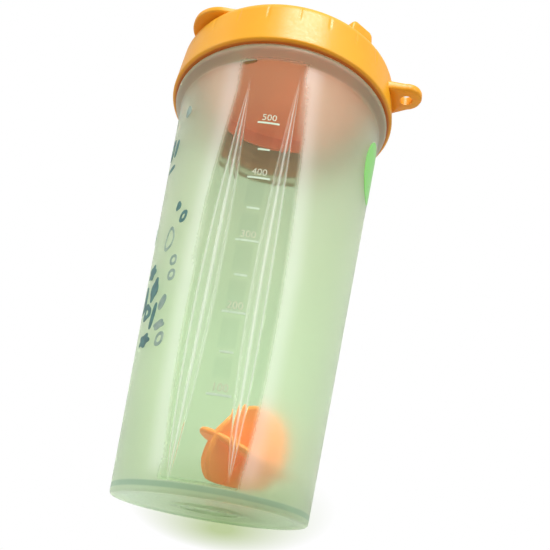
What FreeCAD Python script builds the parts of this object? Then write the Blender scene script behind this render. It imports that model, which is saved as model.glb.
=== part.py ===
import FreeCAD, Part
import math
import os
import re

import Sketcher

# Protein shaker bottle: a tapered translucent cup with a flared collar and a threaded neck, a screw
# lid with a drinking spout, a hinged flip cap with a thumb lip, and a loose three-disc mixing ball.
# +Z is up and the origin is the centre of the cup's base. Azimuths turn from -Y towards +X.

DIMENSIONS = {
    # cup
    "base_radius": 32.5,
    "body_top_radius": 42.05,
    "body_top_height": 155.2,
    "collar_radius": 44.8,
    "collar_height": 160.1,
    "collar_edge": 2.2,
    "cup_wall": 1.9,
    "floor_thickness": 3.0,
    "base_edge_radius": 0.9,
    "neck_radius": 42.4,
    "neck_top_height": 175.6,
    # screw thread between neck and lid
    "thread_pitch": 5.0,
    "thread_depth": 1.1,
    "thread_root": 1.8,
    "thread_crest": 1.0,
    "thread_start_height": 163.5,
    "thread_rise": 7.5,
    # lid
    "lid_gap": 0.4,
    "lid_skirt_radius": 46.8,
    "lid_shoulder_radius": 45.55,
    "lid_deck_height": 181.2,
    "lid_deck_thickness": 2.0,
    "lid_shoulder_round": 3.2,
    "lid_bore_radius": 43.9,
    "lid_rim_round": 0.9,
    "rib_radius": 39.4,
    "rib_thickness": 1.3,
    "rib_depth": 6.5,
    "groove_count": 24,
    "groove_width": 1.3,
    "groove_depth": 0.4,
    "groove_length": 7.5,
    "front_azimuth": -55.0,
    # lanyard eye on the lid's skirt
    "eye_azimuth": 71.0,
    "eye_centre_radius": 52.1,
    "eye_outer_radius": 6.3,
    "eye_hole_radius": 2.6,
    "eye_height": 171.5,
    "eye_thickness": 4.0,
    "eye_root_half_width": 8.4,
    # spout
    "spout_offset": 27.5,
    "spout_radius": 10.0,
    "spout_bore_radius": 8.0,
    "spout_height": 6.4,
    # flip cap and its hinge
    "hinge_height": 184.4,
    "lug_outer": 43.4,
    "lug_thickness": 4.6,
    "lug_shift": 1.0,
    "lug_top_height": 186.8,
    "lug_half_top": 5.6,
    "lug_half_base": 6.2,
    "lug_corner": 1.8,
    "knuckle_radius": 2.8,
    "knuckle_length": 9.0,
    "hinge_side_gap": 0.35,
    "pin_radius": 1.4,
    "pin_length": 10.0,
    "pin_clearance": 0.05,
    "cap_gap": 0.5,
    "cap_thickness": 2.8,
    "lip_offset": 36.2,
    "lip_radius": 12.6,
    "lip_touch_angle": 35.9,
    "cap_rear_inset": 0.5,
    "cap_side_length": 4.0,
    "turret_radius": 13.2,
    "turret_bore_radius": 10.9,
    "turret_height": 190.6,
    "turret_roof": 1.7,
    "turret_round": 2.2,
    "cap_round": 1.0,
    # seals
    "gasket_inner_radius": 39.8,
    "gasket_outer_radius": 43.4,
    "seal_gap": 0.12,
    "plug_stem_radius": 7.5,
    "plug_stem_depth": 3.0,
    "plug_roof_gap": 0.02,
    # mixing ball
    "ball_radius": 17.3,
    "ball_disc_thickness": 2.2,
    "ball_offset_x": 8.0,
    "ball_offset_y": 3.4,
    "ball_yaw": 139.5,
    "ball_pitch": -19.1,
    "ball_roll": 10.1,
    "ball_rest_gap": 0.1,
    # print
    "print_thickness": 0.12,
    "print_gap": 0.02,
    "scale_azimuth": -5.8,
    "scale_first_height": 29.6,
    "scale_step": 13.55,
    "scale_shrink": 0.17,
    "scale_line": 0.7,
    "scale_major_width": 7.8,
    "scale_minor_width": 4.3,
    "oval_azimuth": 72.0,
    "oval_centre_height": 133.5,
    "oval_width": 19.0,
    "oval_height": 27.0,
}

SCALE_MAJORS = 5
ORIGIN = FreeCAD.Vector(0, 0, 0)
AXIS_X = FreeCAD.Vector(1, 0, 0)
AXIS_Y = FreeCAD.Vector(0, 1, 0)
AXIS_Z = FreeCAD.Vector(0, 0, 1)

# The lid's lower edge and the underside of its deck, as expressions of the dimensions above.
LID_LOW = "(collar_height + lid_gap)"
LID_CEILING = "(lid_deck_height - lid_deck_thickness)"

# Azimuth in degrees, then bottom, width and height in millimetres of each block of the side print.
SIDE_PRINT_BLOCKS = [
    (-82, 119, 5.0, 9.0),
    (-74, 123, 4.0, 5.0),
    (-50, 94, 3.5, 3.0),
    (-52, 89, 4.0, 4.0),
    (-73, 71, 6.0, 5.0),
    (-48, 68, 3.0, 3.5),
    (-51, 63, 4.0, 4.0),
    (-64, 60, 3.0, 9.0),
    (-67, 53, 7.0, 6.0),
    (-49, 55, 4.5, 5.0),
    (-57, 44, 5.0, 4.0),
]

doc = FreeCAD.newDocument("ShakerBottle")
sheet = doc.addObject("Spreadsheet::Sheet", "Dimensions")
for row, (alias, value) in enumerate(DIMENSIONS.items(), start=1):
    sheet.set(f"A{row}", alias)
    sheet.set(f"B{row}", str(value))
    sheet.setAlias(f"B{row}", alias)
doc.recompute()


def cell(expression):
    """Write bare dimension names as references to the sheet."""
    return re.sub(r"[a-z_]+", lambda m: f"Dimensions.{m[0]}" if m[0] in DIMENSIONS else m[0], expression)


def value_of(expression):
    """Work out an expression of dimension names as a plain number."""
    result = sheet.evalExpression(cell(expression))
    return float(getattr(result, "Value", result))


def bind(target, property_path, expression):
    target.setExpression(property_path, cell(expression))


def new_body(label):
    body = doc.addObject("PartDesign::Body", label)
    body.Label = label
    return body


def origin_feature(body, role):
    return next(f for f in body.Origin.OriginFeatures if f.Role == role)


def new_sketch(body, name, role, height=None):
    """A sketch on one of the body's own planes, lifted along the plane's normal by an expression."""
    sketch = body.newObject("Sketcher::SketchObject", name)
    sketch.AttachmentSupport = [(origin_feature(body, role), "")]
    sketch.MapMode = "FlatFace"
    if height is not None:
        bind(sketch, ".AttachmentOffset.Base.z", height)
    return sketch


def place_vertex(sketch, curve, end, across, up):
    """Tie a vertex to the sketch's origin by two bound dimensions."""
    for kind, expression, axis in (("DistanceX", across, -2), ("DistanceY", up, -1)):
        number = value_of(expression)
        if abs(number) < 1e-9:
            sketch.addConstraint(Sketcher.Constraint("PointOnObject", curve, end, axis))
            continue
        index = sketch.addConstraint(Sketcher.Constraint(kind, -1, 1, curve, end, number))
        bind(sketch, f"Constraints[{index}]", expression)


def add_outline(sketch, corners):
    """A closed outline of straight lines through corners given as pairs of expressions."""
    points = [FreeCAD.Vector(value_of(x), value_of(y), 0) for x, y in corners]
    first = sketch.GeometryCount
    count = len(points)
    for i in range(count):
        sketch.addGeometry(Part.LineSegment(points[i], points[(i + 1) % count]), False)
    for i in range(count):
        sketch.addConstraint(Sketcher.Constraint("Coincident", first + i, 2, first + (i + 1) % count, 1))
    for i, (across, up) in enumerate(corners):
        place_vertex(sketch, first + i, 1, across, up)


def add_circle(sketch, across, up, radius):
    """A circle whose centre and radius are expressions."""
    centre = FreeCAD.Vector(value_of(across), value_of(up), 0)
    curve = sketch.addGeometry(Part.Circle(centre, FreeCAD.Vector(0, 0, 1), value_of(radius)), False)
    index = sketch.addConstraint(Sketcher.Constraint("Radius", curve, value_of(radius)))
    bind(sketch, f"Constraints[{index}]", radius)
    place_vertex(sketch, curve, 3, across, up)


def revolve(body, sketch, name):
    feature = body.newObject("PartDesign::Revolution", name)
    feature.Profile = sketch
    feature.ReferenceAxis = (sketch, ["V_Axis"])
    feature.Angle = 360
    return feature


def pad(body, sketch, name, length, down=False):
    feature = body.newObject("PartDesign::Pad", name)
    feature.Profile = sketch
    bind(feature, "Length", length)
    feature.Reversed = down
    return feature


def pocket(body, sketch, name, length, up=False):
    feature = body.newObject("PartDesign::Pocket", name)
    feature.Profile = sketch
    bind(feature, "Length", length)
    feature.Reversed = up
    return feature


def edges_on_face(feature, height):
    """Names of the edges that lie wholly at one height."""
    names = []
    for i, edge in enumerate(feature.Shape.Edges, start=1):
        box = edge.BoundBox
        if abs(box.ZMin - height) < 0.01 and abs(box.ZMax - height) < 0.01:
            names.append(f"Edge{i}")
    return names


def ring_edges(feature, radius, height):
    """Names of the full-circle edges of a feature at one radius and height."""
    names = []
    for i, edge in enumerate(feature.Shape.Edges, start=1):
        curve = edge.Curve
        if isinstance(curve, Part.Circle) and abs(curve.Radius - radius) < 0.02:
            if abs(curve.Center.z - height) < 0.02:
                names.append(f"Edge{i}")
    return names


def fillet(body, base, name, edges, radius):
    feature = body.newObject("PartDesign::Fillet", name)
    feature.Base = (base, edges)
    bind(feature, "Radius", radius)
    return feature


def screw_ridge(body, name, root_radius, crest_radius, height):
    """A helical ridge with a trapezoid section, from its root radius to its crest radius."""
    sketch = new_sketch(body, f"{name}Section", "XZ_Plane")
    add_outline(sketch, [
        (root_radius, f"{height} - thread_root / 2"),
        (crest_radius, f"{height} - thread_crest / 2"),
        (crest_radius, f"{height} + thread_crest / 2"),
        (root_radius, f"{height} + thread_root / 2"),
    ])
    ridge = body.newObject("PartDesign::AdditiveHelix", name)
    ridge.Profile = sketch
    ridge.ReferenceAxis = (sketch, ["V_Axis"])
    ridge.Mode = 0
    bind(ridge, "Pitch", "thread_pitch")
    bind(ridge, "Height", "thread_rise")
    ridge.LeftHanded = False
    ridge.Reversed = False
    return ridge


def turn_to_front(part):
    """Turn a piece of the lid, drawn with its front at -Y, to the lid's real azimuth."""
    part.Placement = FreeCAD.Placement(ORIGIN, FreeCAD.Rotation(AXIS_Z, DIMENSIONS["front_azimuth"]))


def wall_radius(height):
    """Expression for the cup's outer radius at a height given as an expression."""
    return f"(base_radius + (body_top_radius - base_radius) * ({height}) / body_top_height)"


def make_cup():
    body = new_body("cup_body")
    sketch = new_sketch(body, "CupSection", "XZ_Plane")
    neck_inner = "neck_radius - cup_wall"
    add_outline(sketch, [
        ("0", "0"),
        ("base_radius", "0"),
        ("body_top_radius", "body_top_height"),
        ("collar_radius", "collar_height - collar_edge"),
        ("collar_radius", "collar_height"),
        ("neck_radius", "collar_height"),
        ("neck_radius", "neck_top_height"),
        (neck_inner, "neck_top_height"),
        (neck_inner, "collar_height"),
        (f"{wall_radius('floor_thickness')} - cup_wall", "floor_thickness"),
        ("0", "floor_thickness"),
    ])
    shell = revolve(body, sketch, "CupShell")
    doc.recompute()
    base_ring = ring_edges(shell, value_of("base_radius"), 0)
    collar_rings = ring_edges(shell, value_of("collar_radius"), value_of("collar_height"))
    collar_rings += ring_edges(
        shell, value_of("collar_radius"), value_of("collar_height - collar_edge"))
    rounded = fillet(body, shell, "CupEdges", base_ring + collar_rings, "base_edge_radius")
    doc.recompute()
    body.Tip = rounded
    screw_ridge(body, "NeckThread", "neck_radius - 0.3", "neck_radius + thread_depth",
                "thread_start_height")
    return body


def make_gasket():
    body = new_body("lid_gasket")
    sketch = new_sketch(body, "GasketSection", "XZ_Plane")
    low = "neck_top_height + seal_gap"
    high = "lid_deck_height - lid_deck_thickness - seal_gap"
    add_outline(sketch, [
        ("gasket_inner_radius", low),
        ("gasket_outer_radius", low),
        ("gasket_outer_radius", high),
        ("gasket_inner_radius", high),
    ])
    revolve(body, sketch, "GasketRing")
    return body


def make_lid_shell(body):
    """Skirt, deck and inner rib in one turned section, with rounded shoulder and rim."""
    sketch = new_sketch(body, "LidSection", "XZ_Plane")
    rib_inner = "rib_radius - rib_thickness"
    add_outline(sketch, [
        ("0", "lid_deck_height"),
        ("0", LID_CEILING),
        (rib_inner, LID_CEILING),
        (rib_inner, f"{LID_CEILING} - rib_depth"),
        ("rib_radius", f"{LID_CEILING} - rib_depth"),
        ("rib_radius", LID_CEILING),
        ("lid_bore_radius", LID_CEILING),
        ("lid_bore_radius", LID_LOW),
        ("lid_skirt_radius", LID_LOW),
        ("lid_shoulder_radius", "lid_deck_height"),
    ])
    shell = revolve(body, sketch, "LidShell")
    doc.recompute()
    shoulder = ring_edges(shell, value_of("lid_shoulder_radius"), value_of("lid_deck_height"))
    rounded = fillet(body, shell, "LidShoulder", shoulder, "lid_shoulder_round")
    doc.recompute()
    rim = ring_edges(rounded, value_of("lid_skirt_radius"), value_of(LID_LOW))
    fillet(body, rounded, "LidRim", rim, "lid_rim_round")
    doc.recompute()


def add_hinge_lugs(body):
    """Two lugs at the ends of the hinge line, each a broad block with worn-off top corners."""
    low = "lid_deck_height - 1.4"
    side_top = "lug_top_height - lug_corner"
    corner = ("lug_half_top - 0.3 * lug_corner", "lug_top_height - 0.3 * lug_corner")
    flat = "lug_half_top - lug_corner"
    for side, word in ((-1, "Left"), (1, "Right")):
        block = new_sketch(body, f"Lug{word}Outline", "YZ_Plane", f"{side} * lug_outer")
        add_outline(block, [
            ("lug_shift - lug_half_base", low),
            ("lug_shift + lug_half_base", low),
            ("lug_shift + lug_half_top", side_top),
            (f"lug_shift + ({corner[0]})", corner[1]),
            (f"lug_shift + ({flat})", "lug_top_height"),
            (f"lug_shift - ({flat})", "lug_top_height"),
            (f"lug_shift - ({corner[0]})", corner[1]),
            ("lug_shift - lug_half_top", side_top),
        ])
        pad(body, block, f"Lug{word}", "lug_thickness", down=side > 0)
    doc.recompute()


def from_eye(outward, sideways):
    """Sketch coordinates of a point given outward and sideways of the eye's own direction."""
    turn = "(eye_azimuth - front_azimuth)"
    across = f"({outward}) * sin{turn} + ({sideways}) * cos{turn}"
    along = f"({sideways}) * sin{turn} - ({outward}) * cos{turn}"
    return across, along


def add_eye(body):
    """A flat ring on the skirt with a web that blends it into the wall."""
    low = "eye_height - eye_thickness / 2"
    web = new_sketch(body, "EyeWebOutline", "XY_Plane", low)
    add_outline(web, [
        from_eye("lid_bore_radius", "0 - eye_root_half_width"),
        from_eye("eye_centre_radius", "0 - eye_outer_radius"),
        from_eye("eye_centre_radius", "eye_outer_radius"),
        from_eye("lid_bore_radius", "eye_root_half_width"),
    ])
    pad(body, web, "EyeWeb", "eye_thickness")
    ring = new_sketch(body, "EyeRingOutline", "XY_Plane", low)
    add_circle(ring, *from_eye("eye_centre_radius", "0"), "eye_outer_radius")
    pad(body, ring, "EyeRing", "eye_thickness")
    doc.recompute()


def cut_lid_openings(body):
    """The spout's bore, the eye's hole, the clear bore for the neck and the hinge pins' holes."""
    spout = new_sketch(body, "SpoutBoreOutline", "XY_Plane", "lid_deck_height + spout_height + 1")
    add_circle(spout, "0", "0 - spout_offset", "spout_bore_radius")
    pocket(body, spout, "SpoutBore", "spout_height + lid_deck_thickness + 2")
    eye = new_sketch(body, "EyeHoleOutline", "XY_Plane", "eye_height + eye_thickness")
    add_circle(eye, *from_eye("eye_centre_radius", "0"), "eye_hole_radius")
    pocket(body, eye, "EyeHole", "2 * eye_thickness")
    bore = new_sketch(body, "NeckRoomOutline", "XY_Plane", f"{LID_LOW} - 1")
    add_circle(bore, "0", "0", "lid_bore_radius")
    add_circle(bore, "0", "0", "rib_radius")
    pocket(body, bore, "NeckRoom", f"{LID_CEILING} - {LID_LOW} + 1", up=True)
    pins = new_sketch(body, "PinHoleOutline", "YZ_Plane", "0 - lug_outer - 1")
    add_circle(pins, "0", "hinge_height", "pin_radius")
    pocket(body, pins, "PinHoles", "2 * lug_outer + 2", up=True)
    doc.recompute()


def cut_grip_grooves(body):
    """Shallow upright grooves all round the upper half of the skirt."""
    sketch = new_sketch(body, "GripGrooveOutline", "XY_Plane", "lid_deck_height - lid_shoulder_round")
    bottom_of_groove = "lid_shoulder_radius - groove_depth"
    add_outline(sketch, [
        (bottom_of_groove, "0 - groove_width / 2"),
        ("lid_skirt_radius + 1", "0 - groove_width / 2"),
        ("lid_skirt_radius + 1", "groove_width / 2"),
        (bottom_of_groove, "groove_width / 2"),
    ])
    groove = pocket(body, sketch, "GripGroove", "groove_length")
    doc.recompute()
    pattern = body.newObject("PartDesign::PolarPattern", "GripGrooves")
    pattern.Originals = [groove]
    pattern.Axis = (origin_feature(body, "Z_Axis"), [""])
    pattern.Angle = 360
    pattern.Occurrences = int(DIMENSIONS["groove_count"])
    body.Tip = pattern
    doc.recompute()


def make_lid():
    body = new_body("screw_lid")
    make_lid_shell(body)
    spout = new_sketch(body, "SpoutOutline", "XY_Plane", "lid_deck_height - 1")
    add_circle(spout, "0", "0 - spout_offset", "spout_radius")
    pad(body, spout, "Spout", "spout_height + 1")
    add_hinge_lugs(body)
    add_eye(body)
    cut_lid_openings(body)
    cut_grip_grooves(body)
    # The lid's ridge lies half a pitch above the neck's, allowing for the lid's own turn.
    screw_ridge(body, "LidThread", "lid_bore_radius + 0.3", "lid_bore_radius - thread_depth",
                "thread_start_height + thread_pitch / 2 + thread_pitch * front_azimuth / 360")
    turn_to_front(body)
    return body


def make_flip_cap():
    body = new_body("flip_cap")
    low = "(lid_deck_height + cap_gap)"
    hinge_end = "(lug_outer - lug_thickness - hinge_side_gap)"
    touch_across = "lip_radius * cos(lip_touch_angle)"
    touch_along = "0 - lip_offset - lip_radius * sin(lip_touch_angle)"
    plate = new_sketch(body, "CapPlateOutline", "XY_Plane", low)
    add_outline(plate, [
        (f"0 - {hinge_end}", "0 - cap_rear_inset"),
        (hinge_end, "0 - cap_rear_inset"),
        (hinge_end, "0 - cap_rear_inset - cap_side_length"),
        (touch_across, touch_along),
        (f"0 - {touch_across}", touch_along),
        (f"0 - {hinge_end}", "0 - cap_rear_inset - cap_side_length"),
    ])
    pad(body, plate, "CapPlate", "cap_thickness")
    lip = new_sketch(body, "CapLipOutline", "XY_Plane", low)
    add_circle(lip, "0", "0 - lip_offset", "lip_radius")
    slab = pad(body, lip, "CapLip", "cap_thickness")
    doc.recompute()
    rounded = fillet(body, slab, "CapEdges",
                     edges_on_face(slab, value_of(f"{low} + cap_thickness")), "cap_round")
    doc.recompute()
    turret = new_sketch(body, "TurretOutline", "XY_Plane", low)
    add_circle(turret, "0", "0 - spout_offset", "turret_radius")
    dome = pad(body, turret, "Turret", f"turret_height - {low}")
    doc.recompute()
    crown = ring_edges(dome, value_of("turret_radius"), value_of("turret_height"))
    fillet(body, dome, "TurretCrown", crown, "turret_round")
    doc.recompute()
    for side, word in ((-1, "Left"), (1, "Right")):
        knuckle = new_sketch(body, f"Knuckle{word}Outline", "YZ_Plane", f"{side} * {hinge_end}")
        add_circle(knuckle, "0", "hinge_height", "knuckle_radius")
        pad(body, knuckle, f"Knuckle{word}", "knuckle_length", down=side > 0)
    doc.recompute()
    hollow = new_sketch(body, "TurretHollowOutline", "XY_Plane", f"{low} - 1")
    add_circle(hollow, "0", "0 - spout_offset", "turret_bore_radius")
    pocket(body, hollow, "TurretHollow", f"turret_height - turret_roof - {low} + 1", up=True)
    holes = new_sketch(body, "CapPinOutline", "YZ_Plane", f"0 - {hinge_end} - 1")
    add_circle(holes, "0", "hinge_height", "pin_radius + pin_clearance")
    pocket(body, holes, "CapPinHoles", f"2 * {hinge_end} + 2", up=True)
    doc.recompute()
    turn_to_front(body)
    return body


def make_spout_plug():
    """The stopper under the cap's roof: a flange that meets the spout's edge and a stem inside it."""
    body = new_body("spout_plug")
    flange_low = "(lid_deck_height + spout_height + seal_gap)"
    flange = new_sketch(body, "PlugFlangeOutline", "XY_Plane", flange_low)
    add_circle(flange, "0", "0 - spout_offset", "turret_bore_radius - 0.15")
    pad(body, flange, "PlugFlange", f"turret_height - turret_roof - plug_roof_gap - {flange_low}")
    stem = new_sketch(body, "PlugStemOutline", "XY_Plane", f"{flange_low} - plug_stem_depth")
    add_circle(stem, "0", "0 - spout_offset", "plug_stem_radius")
    plug = pad(body, stem, "PlugStem", "plug_stem_depth + 0.5")
    doc.recompute()
    tip = ring_edges(plug, value_of("plug_stem_radius"), value_of(f"{flange_low} - plug_stem_depth"))
    fillet(body, plug, "PlugTip", tip, "cap_round")
    turn_to_front(body)
    return body


def make_hinge_pin(side, word):
    body = new_body(f"hinge_pin_{word}")
    sketch = new_sketch(body, f"Pin{word.title()}Outline", "YZ_Plane", f"{side} * lug_outer")
    add_circle(sketch, "0", "hinge_height", "pin_radius")
    pad(body, sketch, f"Pin{word.title()}", "pin_length", down=side > 0)
    turn_to_front(body)
    return body


def make_mixing_ball():
    """Three discs that cross at right angles around a small core, resting on the cup's floor."""
    body = new_body("mixing_ball")
    half = "0 - ball_disc_thickness / 2"
    for role in ("XY_Plane", "XZ_Plane", "YZ_Plane"):
        sketch = new_sketch(body, f"Disc{role[:2]}Outline", role, half)
        add_circle(sketch, "0", "0", "ball_radius")
        pad(body, sketch, f"Disc{role[:2]}", "ball_disc_thickness")
    doc.recompute()
    turn = FreeCAD.Rotation(DIMENSIONS["ball_yaw"], DIMENSIONS["ball_pitch"], DIMENSIONS["ball_roll"])
    axes = [turn.multVec(axis) for axis in (AXIS_X, AXIS_Y, AXIS_Z)]
    radius = DIMENSIONS["ball_radius"]
    half_thickness = DIMENSIONS["ball_disc_thickness"] / 2
    drop = max(radius * math.sqrt(1 - axis.z ** 2) + half_thickness * abs(axis.z) for axis in axes)
    centre = FreeCAD.Vector(
        DIMENSIONS["ball_offset_x"],
        DIMENSIONS["ball_offset_y"],
        DIMENSIONS["floor_thickness"] + DIMENSIONS["ball_rest_gap"] + drop)
    body.Placement = FreeCAD.Placement(centre, turn)
    return body


def print_film():
    """A thin skin just proud of the cup's tapered wall, as a solid to cut prints from."""
    gap = DIMENSIONS["print_gap"]
    thick = DIMENSIONS["print_thickness"]
    height = DIMENSIONS["body_top_height"]
    low_radius = DIMENSIONS["base_radius"]
    high_radius = DIMENSIONS["body_top_radius"]
    outer = Part.makeCone(low_radius + gap + thick, high_radius + gap + thick, height)
    inner = Part.makeCone(low_radius + gap, high_radius + gap, height)
    return outer.cut(inner)


def turned_out(shape, azimuth):
    """Turn a shape drawn at -Y to an azimuth."""
    turned = shape.copy()
    turned.rotate(ORIGIN, AXIS_Z, azimuth)
    return turned


def make_print(label, blocks):
    """Cut a print from the film with blocks that stand across the wall."""
    body = doc.addObject("Part::Feature", label)
    film = print_film()
    solids = []
    for block in blocks:
        solids += film.common(block).Solids
    body.Shape = Part.makeCompound(solids)
    body.Label = label
    return body


def wall_block(width, height, bottom, azimuth, sideways=0.0):
    """A box across the wall: width around the cup, height up it."""
    depth = DIMENSIONS["body_top_radius"] + 2
    corner = FreeCAD.Vector(sideways - width / 2, -depth, bottom)
    return turned_out(Part.makeBox(width, depth - DIMENSIONS["base_radius"] / 2, height, corner), azimuth)


def make_scale():
    """Long and short lines in turn. The steps shrink upwards, because the cup widens."""
    line = DIMENSIONS["scale_line"]
    blocks = []
    for step in range(2 * SCALE_MAJORS - 1):
        major = step % 2 == 0
        width = DIMENSIONS["scale_major_width"] if major else DIMENSIONS["scale_minor_width"]
        height = (DIMENSIONS["scale_first_height"] + step * DIMENSIONS["scale_step"]
                  - step ** 2 * DIMENSIONS["scale_shrink"])
        blocks.append(wall_block(width, line, height - line / 2, DIMENSIONS["scale_azimuth"]))
    return make_print("graduation_scale", blocks)


def make_side_print():
    """A loose column of plain blocks and dots on the cup's left side."""
    blocks = [
        wall_block(width, height, bottom, azimuth)
        for azimuth, bottom, width, height in SIDE_PRINT_BLOCKS
    ]
    return make_print("side_print", blocks)


def make_oval_print():
    """A plain upright oval high on the cup's right side."""
    height = DIMENSIONS["oval_height"]
    width = DIMENSIONS["oval_width"]
    depth = DIMENSIONS["body_top_radius"] + 2
    centre = FreeCAD.Vector(0, -depth, DIMENSIONS["oval_centre_height"])
    circle = Part.Face(Part.Wire(Part.Circle(FreeCAD.Vector(0, 0, 0), AXIS_Y, height / 2).toShape()))
    rod = circle.extrude(FreeCAD.Vector(0, depth - DIMENSIONS["base_radius"] / 2, 0))
    squash = FreeCAD.Matrix()
    squash.scale(width / height, 1, 1)
    rod = rod.transformGeometry(squash)
    rod.translate(centre)
    return make_print("oval_print", [turned_out(rod, DIMENSIONS["oval_azimuth"])])


def check_and_export(parts):
    doc.recompute()
    for item in doc.Objects:
        if "Invalid" in item.State or "Error" in item.State:
            raise RuntimeError(f"{item.Label} didn't build: {item.State}")
    os.makedirs("parts", exist_ok=True)
    for part in parts:
        if part.Shape.isNull() or not part.Shape.isValid():
            raise RuntimeError(f"{part.Label} has no valid shape")
        part.Shape.exportStep(f"parts/{part.Label}.step")


check_and_export([
    make_cup(),
    make_scale(),
    make_side_print(),
    make_oval_print(),
    make_gasket(),
    make_lid(),
    make_flip_cap(),
    make_spout_plug(),
    make_hinge_pin(-1, "left"),
    make_hinge_pin(1, "right"),
    make_mixing_ball(),
])
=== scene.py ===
import math

import bmesh
import bpy
from mathutils import Matrix, Vector


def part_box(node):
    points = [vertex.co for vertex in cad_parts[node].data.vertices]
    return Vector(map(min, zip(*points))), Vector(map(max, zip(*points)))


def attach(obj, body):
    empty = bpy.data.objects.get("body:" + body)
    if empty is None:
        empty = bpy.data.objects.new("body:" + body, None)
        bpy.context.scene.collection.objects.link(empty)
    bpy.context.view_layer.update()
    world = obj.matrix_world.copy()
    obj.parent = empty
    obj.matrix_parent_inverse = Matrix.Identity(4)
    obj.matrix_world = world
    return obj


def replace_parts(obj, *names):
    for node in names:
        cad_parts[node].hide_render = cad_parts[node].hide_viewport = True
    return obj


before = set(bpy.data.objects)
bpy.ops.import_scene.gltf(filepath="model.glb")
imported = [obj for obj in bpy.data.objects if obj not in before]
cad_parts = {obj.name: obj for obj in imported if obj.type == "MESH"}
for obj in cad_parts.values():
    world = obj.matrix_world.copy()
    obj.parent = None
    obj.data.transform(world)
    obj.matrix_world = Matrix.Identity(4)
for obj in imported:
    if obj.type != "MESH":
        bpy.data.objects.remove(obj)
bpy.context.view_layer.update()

# Protein shaker bottle. Metres, +Z up, the origin at the centre of the cup's base.
# Azimuths are in degrees, from -Y towards +X. Lengths in this script are in millimetres
# and become metres where a mesh is made.
MM = 0.001
TAU = 2 * math.pi

# ---------------------------------------------------------------- shape of the cup
BASE_R, TOP_R, TOP_Z = 32.5, 42.05, 155.2
NECK_R, WALL = 42.4, 1.9
BASE_RECESS, INNER_FLOOR = 0.5, 3.0
THREAD_PITCH, THREAD_DEPTH, THREAD_START, THREAD_TURNS = 5.0, 1.1, 163.5, 1.5
THREAD_RUN_OUT, THREAD_CREST, THREAD_FOOT = 0.04, 0.45, 0.95  # in turns; half-widths
FRONT = -55.0  # azimuth that the spout faces
LID_LOW, SKIRT_R, SHOULDER_R, DECK_Z, DECK_T = 160.5, 46.8, 45.55, 181.2, 2.0
BORE_R, RIB_R, RIB_T, RIB_DEPTH = 43.9, 39.4, 1.3, 6.5
GROOVES, GROOVE_DEPTH = 24, 0.16
EYE_AZIMUTH, EYE_OUT, EYE_R, EYE_HOLE, EYE_Z, EYE_T = 71.0, 52.1, 6.3, 2.6, 171.5, 4.0
EYE_ROOT = 8.4
SPOUT_OUT, SPOUT_R, SPOUT_BORE, SPOUT_TOP = 27.5, 10.0, 8.0, 187.6
HINGE_Z, LUG_OUTER, LUG_T, LUG_SHIFT, LUG_TOP = 184.4, 43.4, 4.6, 1.0, 186.8
LUG_HALF_TOP, LUG_HALF_BASE, LUG_CORNER = 5.6, 6.2, 1.8
CAP_LOW, CAP_T, LIP_OUT, LIP_R = 181.7, 2.8, 36.2, 12.6
HINGE_GAP, KNUCKLE_R, KNUCKLE_L = 0.35, 2.8, 9.0
PIN_R, PIN_CLEAR = 1.4, 0.05
TURRET_R, TURRET_BORE, TURRET_TOP, TURRET_ROOF = 13.2, 10.9, 190.6, 1.7
BALL_R, BALL_T, BALL_TURN = 17.3, 2.2, (139.5, -19.1, 10.1)

# Columns of the cup's mesh: behind, left of the first flute; between the flutes; and right of
# the last one round to the back.
LEFT_STEPS, BETWEEN_STEPS, RIGHT_STEPS = 46, 16, 52
SLIMMEST_FLUTE = 0.5  # degrees of half-width that the columns keep where a flute has ended

# Each flute is a slim upright lens with a rib along each edge and one up its middle: azimuths at
# its foot, half-way and its head, low tip, high tip, half-width in degrees, how far the widest
# place lies below half-way, and how strong each rib is, both in height and in its painted
# highlight.
FLUTES = [
    (-24.0, -21.5, -19.0, 2.0, 148.0, 5.0, 0.757, (0.8, 1.0, 0.45)),
    (7.0, 4.7, 6.0, 6.0, 154.0, 4.2, 0.682, (0.45, 1.0, 0.75)),
]
RIB_REACH = (0.24, 0.34, 0.24)  # how far each rib spreads, as a share of the half-width
FLUTE_MIDDLE_Z = 75.0
FLUTE_STEPS = [-1.6, -1.34, -1.24, -1.13, -1.0, -0.87, -0.76, -0.6, -0.45, -0.3, -0.16, 0.0,
               0.16, 0.3, 0.45, 0.6, 0.76, 0.87, 1.0, 1.13, 1.24, 1.34, 1.6]
RIB_HEIGHT, FLUTE_SINK = 0.3, 0.5
SCALE_AZIMUTH, SCALE_FIRST, SCALE_STEP, SCALE_SHRINK = -5.8, 29.6, 13.55, 0.17
SCALE_LINES = [SCALE_FIRST + k * SCALE_STEP - k * k * SCALE_SHRINK for k in range(9)]


def wall_r(z):
    return BASE_R + (TOP_R - BASE_R) * min(max(z, 0.0), TOP_Z) / TOP_Z


def around(radius, azimuth, z):
    a = math.radians(azimuth)
    return Vector((radius * math.sin(a), -radius * math.cos(a), z)) * MM


def smooth(x, low, high):
    t = min(max((x - low) / (high - low), 0.0), 1.0)
    return t * t * (3 - 2 * t)


def between(x, rise, full, fade, end):
    """0 up to rise, 1 from full to fade, and 0 again from end on."""
    return smooth(x, rise, full) * (1 - smooth(x, fade, end))


def new_object(name, bm, body, material, shade=True):
    mesh = bpy.data.meshes.new(name)
    bmesh.ops.recalc_face_normals(bm, faces=bm.faces)
    bm.to_mesh(mesh)
    bm.free()
    obj = bpy.data.objects.new(name, mesh)
    bpy.context.scene.collection.objects.link(obj)
    if shade:
        for polygon in mesh.polygons:
            polygon.use_smooth = True
    mesh.materials.append(material)
    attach(obj, body)
    return obj


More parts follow.
